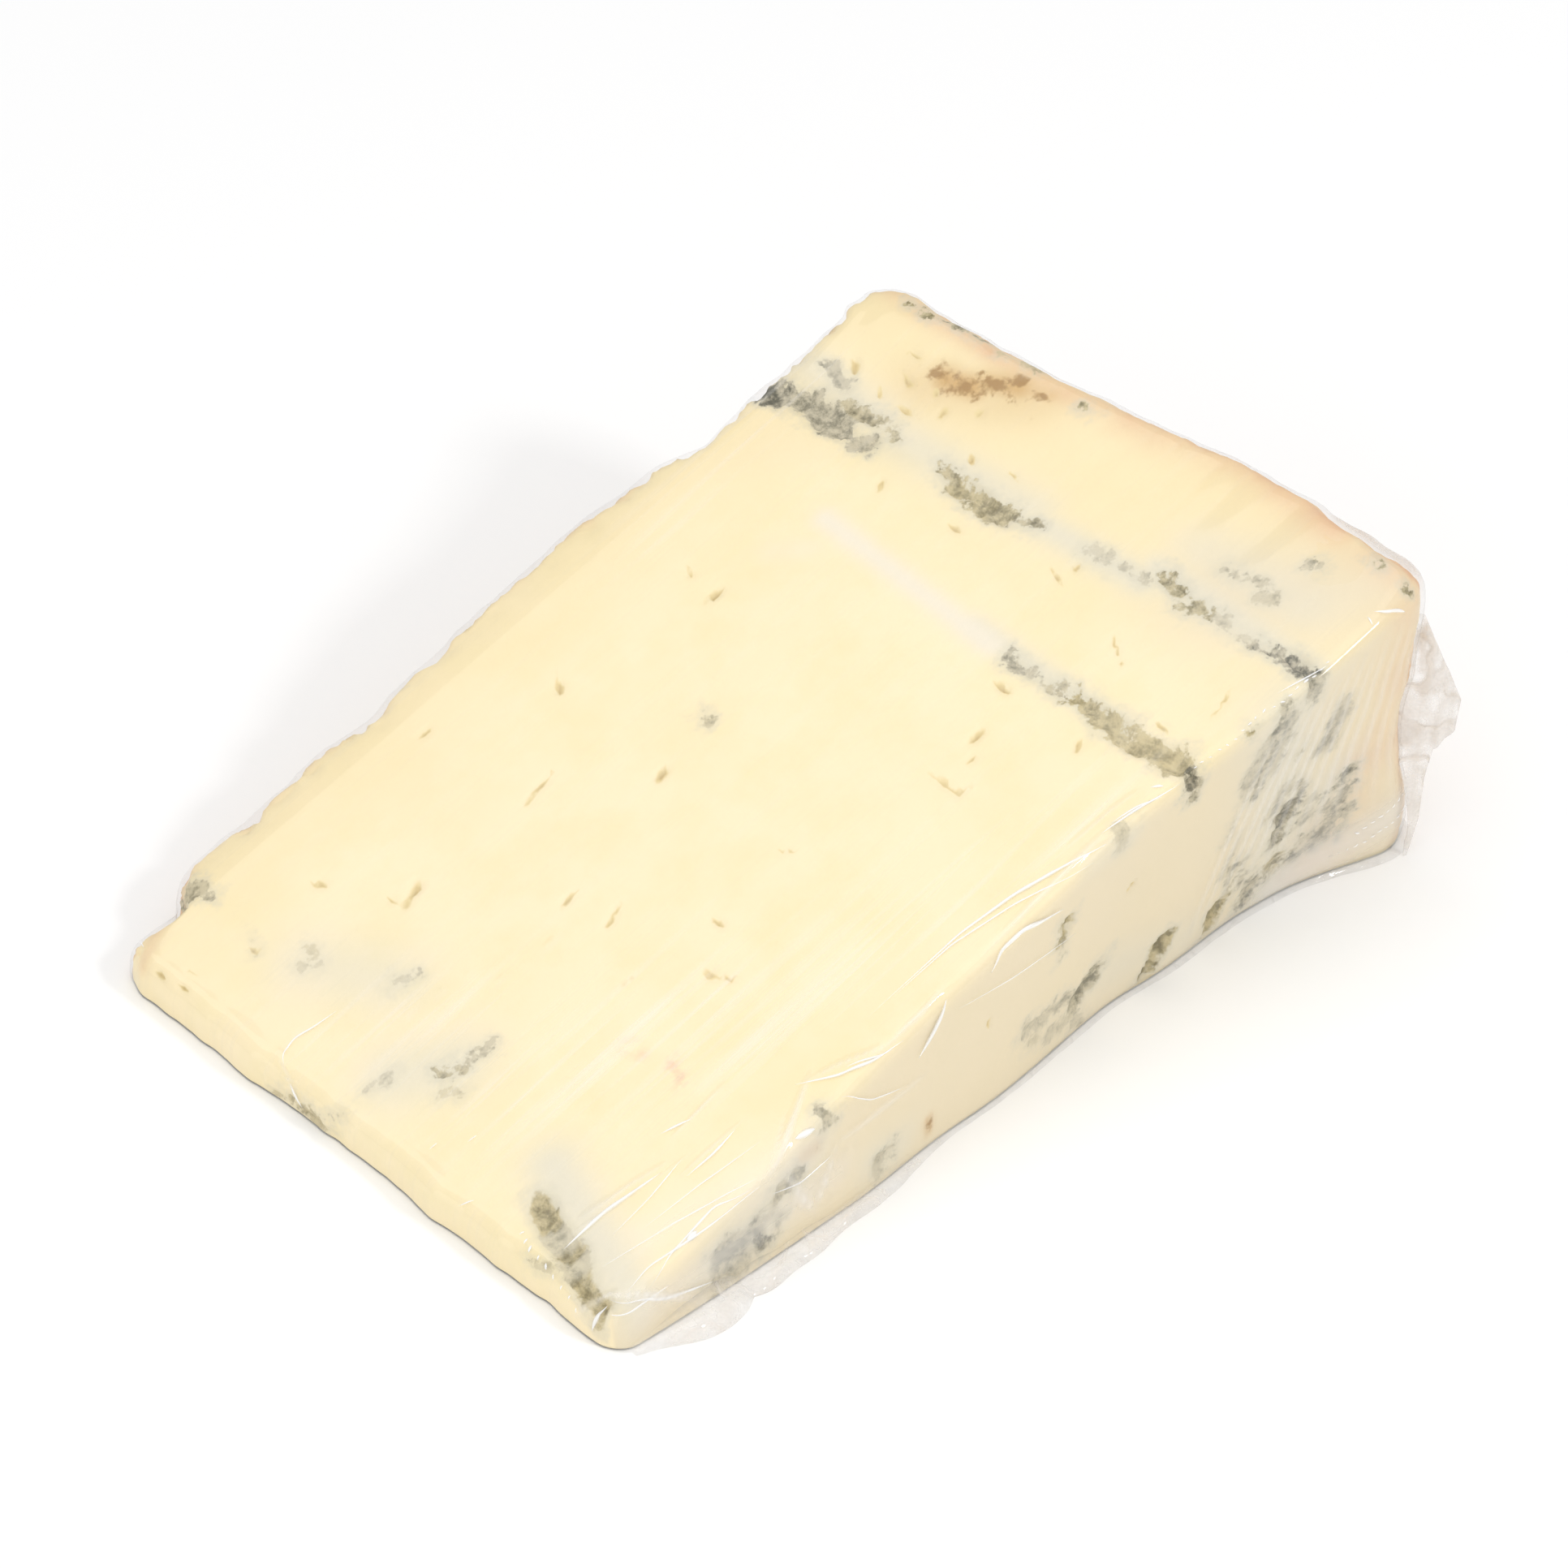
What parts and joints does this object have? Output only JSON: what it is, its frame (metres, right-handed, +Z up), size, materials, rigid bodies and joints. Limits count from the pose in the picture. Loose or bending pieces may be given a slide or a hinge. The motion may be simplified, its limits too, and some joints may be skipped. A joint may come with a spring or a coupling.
{
  "type": "blue cheese wedge",
  "caption": "Wedge of soft veined blue cheese cut from half a wheel, wrapped tight in clear film that is gathered under its foot.",
  "frame": {"origin": "on the floor, under the middle of the whole", "axes": "+X from the thin tip of the wedge to the heel rind, +Y from the cut through the middle of the wheel to the flat rind, +Z up"},
  "size_m": [0.1564, 0.1106, 0.0507],
  "materials": {
    "cheese": "moist, soft sheen",
    "film": "glossy, clear"
  },
  "bodies": {
    "root": {"cheese_wedge": "cheese", "cling_film": "film"}
  },
  "joints": []
}
